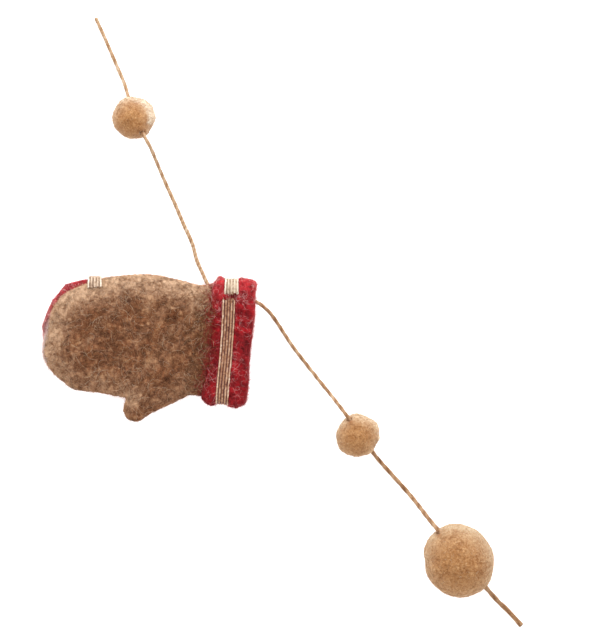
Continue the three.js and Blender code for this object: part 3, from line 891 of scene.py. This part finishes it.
def weaveRibbon(name, bandPoint, length, paintedLitEnd, cutBack, slant, seed):
    # paintedLitEnd is the length from the start that has painted light, and how much on the two edges and between
    # them, cutBack and slant how unevenly the cords were cut
    brightTo, most, between = paintedLitEnd
    dice = random.Random(seed)
    shape = newShape()
    quarter = ribbon["stitch"] / 6
    for across, width, tone in ribbon["cords"]:
        start = (dice.uniform(*cutBack) + slant * across) * mm
        end = length - dice.uniform(0.0, 0.4) * mm
        rings = int((end - start) / quarter)
        spots = [start + (end - start) * k / rings for k in range(rings + 1)]
        lift = ribbon["proud"] - 0.32 * mm
        drift = [wave(s / (3.2 * mm), across * 9, seed) for s in spots]
        jitter = [wave(s / (0.9 * mm), across * 5, seed + 3) for s in spots]
        path = [bandPoint(s / length, across + 0.05 * d + 0.05 * j, lift) for s, d, j in zip(spots, drift, jitter)]
        ups = [(bandPoint(s / length, across, lift + mm) - p).normalized() for s, p in zip(spots, path)]
        phase = dice.random()
        chain = [abs(math.sin(math.pi * (s / ribbon["stitch"] + phase + 0.6 * d))) for s, d in zip(spots, drift)]
        radii = [width / 2 * (0.88 + 0.12 * c) * (1 + 0.12 * d) for c, d in zip(chain, drift)]
        share = most if abs(across) > 0.6 else between
        bright = [share * toUnit((brightTo - s) / (2 * mm)) for s in spots]
        tones = [min(1.0, tone - 0.04 + 0.07 * c + 0.32 * d + 0.24 * j) for c, d, j in zip(chain, drift, jitter)]
        sides = ribbon["sides"]
        perPoint, shares = [tones[0]], [bright[0]]
        for k in range(1, rings):
            perPoint += [tones[k] + dice.gauss(0, 0.05) for _ in range(sides)]
            shares += [bright[k]] * sides
        addStrand(shape, path, ups, radii, sides, perPoint + [tones[-1]], flatten=0.8,
                  share=shares + [bright[-1]])
    frayEnd(shape, bandPoint, length, paintedLitEnd, dice)
    # The thin ground that shows between the cords
    columns = int(length / (0.4 * mm))
    first = len(shape["points"])
    rows = [(across, -0.2, tone) for across, tone in ribbon["gaps"]] + [(0.84, -0.7, 0.3), (-0.84, -0.7, 0.3)]
    around = len(rows)
    for k in range(columns + 1):
        spot = 0.5 * mm + (length - 1.0 * mm) * k / columns
        bright = between * toUnit((brightTo - spot) / (2 * mm))
        for across, lift, tone in rows:
            shape["points"].append(bandPoint(spot / length, across, lift * mm))
            dash = wave(spot / (1.2 * mm), across * 7, seed + 5)
            # Where the ends have painted light, their darkest gaps are left of the middle
            lighter = bright * (0.5 * max(0.0, across) - 0.02)
            shape["tones"].append(max(0.0, tone + 0.6 * dash + lighter))
        shape["shares"] += [bright] * around
    for k in range(columns):
        ring = first + around * k
        for s in range(around):
            t = (s + 1) % around
            shape["faces"].append((ring + s, ring + t, ring + around + t, ring + around + s))
    shape["faces"].append(tuple(first + s for s in reversed(range(around))))
    shape["faces"].append(tuple(first + around * columns + s for s in range(around)))
    shape["points"] = aboveFloor(shape["points"], 0.0)
    return shapePiece(shape, name, wovenRibbon)


def frayEnd(shape, bandPoint, length, paintedLitEnd, dice):
    # Loose threads at both cut ends of the ribbon
    for end, count in ((0.0, 26), (length, 14)):
        inwards = 1 if end == 0.0 else -1
        for _ in range(count):
            across = dice.uniform(-0.85, 0.85)
            reach = dice.uniform(0.2, 1.1) * mm
            spots = [end + inwards * (0.9 * mm - (0.9 * mm + reach) * t) for t in (0, 0.35, 0.7, 1.0)]
            sway = dice.gauss(0, 0.12)
            path = [bandPoint(s / length, across + sway * k / 3, 0.03 * mm) for k, s in enumerate(spots)]
            up = (bandPoint(spots[0] / length, across, mm) - path[0]).normalized()
            share = paintedLitEnd[1] if end < paintedLitEnd[0] and dice.random() < 0.45 else 0.0
            addStrand(shape, path, [up] * 4, [0.09 * mm] * 4, 4, dice.uniform(0.25, 0.6), share=share)


def ribbonMaterial():
    material, tree = newMaterial("wovenRibbon")
    place = readPlace(tree)
    drawn = addNode(tree, "ShaderNodeMapping", {"Vector": place, "Scale": (1.0, 0.45, 1.0)}).outputs[0]
    threads = addNoise(tree, drawn, 1500.0, 2.0, distortion=0.5)
    patches = addMath(tree, "MULTIPLY", addNoise(tree, place, 260.0, 2.0), 0.18)
    spread = addMath(tree, "ADD", addMath(tree, "MULTIPLY", threads, 0.22), patches)
    varied = addMath(tree, "ADD", readValue(tree, "tone"), addMath(tree, "SUBTRACT", spread, 0.2))
    colour = addRamp(tree, varied, ribbon["colours"])
    # Painted light: the paler colours are mixed in by the share
    colour = addMix(tree, readValue(tree, "share"), colour, addRamp(tree, varied, ribbon["paintedLitColours"]))
    addShader(tree, {
        "Base Color": colour, "Roughness": 0.8, "Normal": addBump(tree, threads, 0.6, 0.15 * mm),
        "Sheen Weight": 0.15})
    return material


wovenRibbon = ribbonMaterial()
cuffRibbon = weaveRibbon(
    "cuff_ribbon_woven", cuffBandPoint, 124 * mm, (10 * mm, 1.0, 1.0), (-0.5, 0.1), 0.0, 31)
fingerRibbon = weaveRibbon(
    "finger_ribbon_woven", fingerBandPoint, 17.5 * mm, (18 * mm, 0.95, 0.66), (-0.1, 0.3), 0.6, 32)
print("ribbons woven")


# Twine

twine = {
    # groove sets the painted shade and light round each ply
    "diameter": 1.9 * mm, "plyRadius": 0.71 * mm, "plyOffset": 0.26 * mm, "groove": 0.18,
    "sides": 8, "step": 0.45 * mm, "hairs": 420,
    # share of the length, with thickness, tone and lay in millimetres there
    "wear": [(0.0, 1.02, 0.07, 15), (0.25, 1.06, 0.04, 12), (0.29, 1.14, -0.02, 4.6), (0.37, 1.1, -0.04, 4.6),
             (0.44, 1.1, -0.12, 9), (0.5, 1.06, -0.1, 11), (0.58, 1.06, -0.09, 11), (0.66, 1.14, -0.12, 12),
             (0.75, 1.26, -0.15, 12), (0.92, 1.38, -0.14, 16), (1.0, 1.4, -0.14, 18)],
    "colours": [(0.1, (104, 64, 32)), (0.38, (152, 110, 72)), (0.62, (188, 153, 118)), (0.95, (220, 199, 174))],
}
twineRoute = [  # millimetres
    (-25.6, 151.6, 1.0), (-21.0, 141.5, 1.0), (-15.2, 128.0, 1.0), (-12.1, 120.8, 1.9),
    (-10.5, 115.4, 3.6), (-9.5, 111.6, 5.3), (-7.2, 105.2, 9.9), (-4.0, 98.4, 14.6), (-2.0, 94.6, 16.1),
    (0.2, 90.6, 14.6), (2.6, 85.0, 9.6), (5.3, 78.4, 3.6), (8.3, 71.6, 1.2), (11.3, 65.0, 1.0),
    (15.6, 54.9, 1.0), (19.9, 45.3, 1.0), (22.0, 37.6, 1.1), (24.9, 31.0, 2.0), (27.1, 26.2, 3.1),
    (29.2, 22.9, 3.9), (33.4, 21.0, 4.5), (41.0, 20.2, 4.6), (50.0, 17.8, 4.4), (54.4, 14.7, 2.9),
    (57.8, 11.0, 1.3), (63.5, 2.4, 1.0), (68.1, -4.4, 1.0), (78.4, -17.6, 1.2), (85.6, -26.6, 6.0),
    (91.2, -33.8, 13.4), (94.4, -38.2, 14.6), (98.6, -44.2, 9.9), (102.8, -50.2, 5.0),
    (107.2, -56.0, 1.5), (114.3, -63.9, 1.0), (123.2, -74.0, 4.6), (131.8, -85.0, 17.6),
    (137.9, -92.1, 23.6), (147.0, -104.0, 16.4), (156.4, -114.6, 9.5), (163.0, -122.2, 3.4),
    (168.2, -127.2, 1.1), (174.8, -134.4, 1.0)]


def evenPath(route, step):
    # Points a step apart along the smooth curve through the route
    steps = len(route) * 40
    fine = [Vector(splinePoint(route, k / steps)) * mm for k in range(steps + 1)]
    lengths = list(itertools.accumulate([0.0] + [(b - a).length for a, b in zip(fine, fine[1:])]))
    count = round(lengths[-1] / step)
    path = []
    for k in range(count + 1):
        target = lengths[-1] * k / count
        j = min(max(bisect.bisect(lengths, target), 1), len(fine) - 1)
        part = (target - lengths[j - 1]) / (lengths[j] - lengths[j - 1])
        point = fine[j - 1].lerp(fine[j], part)
        point.z = max(point.z, twine["diameter"] / 2)
        path.append(point)
    return path, lengths[-1]


def twistTwine(name, material):
    dice = random.Random(41)
    path, length = evenPath(twineRoute, twine["step"])
    shape = newShape()
    last = len(path) - 1
    wearAndPaintedLight = [readTable(twine["wear"], k / last) for k in range(last + 1)]
    turns = list(itertools.accumulate(length / last / (lay * mm) for _, _, lay in wearAndPaintedLight))
    # Painted shade on each ply's side that faces the other ply, painted light on its outer side
    shading = [twine["groove"] * math.sin(2 * math.pi * s / twine["sides"]) for s in range(twine["sides"])]
    for ply in range(2):
        centres, ups, radii, tones = [], [], [], []
        for k, point in enumerate(path):
            along = (path[min(k + 1, last)] - path[max(k - 1, 0)]).normalized()
            side = Vector((0, 0, 1)).cross(along).normalized()
            up = along.cross(side)
            travelled = length * k / last
            slack = 1 + 0.16 * wave(travelled / (9 * mm), ply * 7.0, 0)
            angle = 2 * math.pi * turns[k] + math.pi * ply
            out = side * math.cos(angle) + up * math.sin(angle)
            thickness, tone, _ = wearAndPaintedLight[k]
            centres.append(point + out * (twine["plyOffset"] * slack * thickness))
            ups.append(out)
            swell = 1 + 0.14 * wave(travelled / (3 * mm), 20 + ply * 5.0, 0)
            radii.append(twine["plyRadius"] * swell * thickness)
            tones.append(0.46 + tone + 0.28 * wave(travelled / (6 * mm), 40 + ply * 9.0, 0))
        perPoint = [tones[0]]
        for k in range(1, last):
            perPoint += [tones[k] + dark * min(1.4, math.sqrt(8 / wearAndPaintedLight[k][2])) for dark in shading]
        addStrand(shape, centres, ups, radii, twine["sides"], perPoint + [tones[-1]], flatten=0.85)
    shape["points"] = aboveFloor(shape["points"], 0.01)
    hairs = newShape()
    for _ in range(twine["hairs"]):
        k = dice.randrange(2, last - 8)
        along = (path[k + 1] - path[k]).normalized()
        out = along.orthogonal().normalized()
        out.rotate(Matrix.Rotation(dice.uniform(0, 2 * math.pi), 3, along))
        start = path[k] + out * (0.75 * mm)
        reach = dice.uniform(1.2, 3.6) * mm
        stray = dice.uniform(0.1, 0.4)
        hair = [start + (along + out * (stray * t)) * (reach * t) for t in (0, 0.33, 0.66, 1.0)]
        addStrand(hairs, aboveFloor(hair, 0.03), [out.cross(along)] * 4, [0.05 * mm] * 4, fibreSides,
                  dice.uniform(0.4, 1.0))
    return shapePiece(shape, name, material), shapePiece(hairs, name + "_hairs", material), path, length


def twineMaterial():
    material, tree = newMaterial("juteTwine")
    # Streaks that run with the twine, which lies from upper left to lower right
    turned = addNode(tree, "ShaderNodeMapping", {
        "Vector": readPlace(tree), "Rotation": (0, 0, math.radians(60)), "Scale": (1.0, 5.0, 5.0)}).outputs[0]
    streaks = addNoise(tree, turned, 420.0, 3.0, 0.65)
    spread = addMath(tree, "SUBTRACT", addMath(tree, "MULTIPLY", streaks, 0.9), 0.45)
    colour = addRamp(tree, addMath(tree, "ADD", readValue(tree, "tone"), spread), twine["colours"])
    addShader(tree, {
        "Base Color": colour, "Roughness": 0.7, "Normal": addBump(tree, streaks, 0.7, 0.2 * mm),
        "Specular IOR Level": 0.3, "Sheen Weight": 0.15})
    return material


cord, cordHairs, cordPath, cordLength = twistTwine("twine_twisted", twineMaterial())
print("twine twisted, %.0f mm" % (cordLength / mm))


# Floor and light

studio = {
    "floorSize": 3.0, "floorColour": (0.92, 0.92, 0.92, 1.0), "floorGlow": 0.7,
    "horizon": 1.2, "zenith": 0.82,  # strength of the surroundings
    "key": {"at": (0.1, 1.1, 0.85), "size": 0.8, "power": 14.0},
}


def setStudio():
    bpy.ops.mesh.primitive_plane_add(size=studio["floorSize"], location=(middle.x, middle.y, -0.02 * mm))
    floor = bpy.context.active_object
    floor.name = "floor"
    material, tree = newMaterial("paleFloor")
    addShader(tree, {
        "Base Color": studio["floorColour"], "Roughness": 0.9, "Specular IOR Level": 0.0,
        "Emission Color": (1.0, 1.0, 1.0, 1.0), "Emission Strength": studio["floorGlow"]})
    floor.data.materials.append(material)
    look = studio["key"]
    data = bpy.data.lights.new("key", "AREA")
    data.shape = "DISK"
    data.size = look["size"]
    data.energy = look["power"]
    light = addObject("key", data)
    light.location = middle + Vector(look["at"])
    light.rotation_mode = "QUATERNION"
    light.rotation_quaternion = (-Vector(look["at"])).to_track_quat("-Z", "Y")
    world = bpy.data.worlds.new("studio")
    world.use_nodes = True
    tree = world.node_tree
    direction = addNode(tree, "ShaderNodeTexCoord").outputs["Generated"]
    height = addNode(tree, "ShaderNodeSeparateXYZ", {"Vector": direction}).outputs["Z"]
    strength = addRange(tree, height, (0.0, 0.9), (studio["horizon"], studio["zenith"]))
    tree.links.new(strength, tree.nodes["Background"].inputs["Strength"])
    tree.nodes["Background"].inputs["Color"].default_value = (1.0, 1.0, 1.0, 1.0)
    scene.world = world
    scene.view_settings.view_transform = "Standard"


setStudio()
print("studio lit")

# Attach each piece to the root body, hiding the imported solid that it stands for

pieces = [
    (front, "hand_front", "brown_felt"), (back, "hand_back", "red_felt"), (cuff, "cuff", "red_felt"),
    (cuffRibbon, "cuff_ribbon", "woven_ribbon"), (fingerRibbon, "finger_ribbon", "woven_ribbon"),
    (cord, "twine", "jute_twine"), (cordHairs, None, "jute_twine"), (frontWool, None, "brown_felt"),
    (wristWool, None, "brown_felt"), (edgeWool, None, "brown_felt"), (rimWool, None, "red_felt"),
    (cuffWool, None, "red_felt"), (backWool, None, "red_felt"),
]
for ball, wool, nodeName in zip(balls, ballWool, ballLooks):
    pieces += [(ball, nodeName, "tan_felt"), (wool, None, "tan_felt")]
for piece, nodeName, slotName in pieces:
    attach(piece, "root")
    if nodeName:
        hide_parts(nodeName)
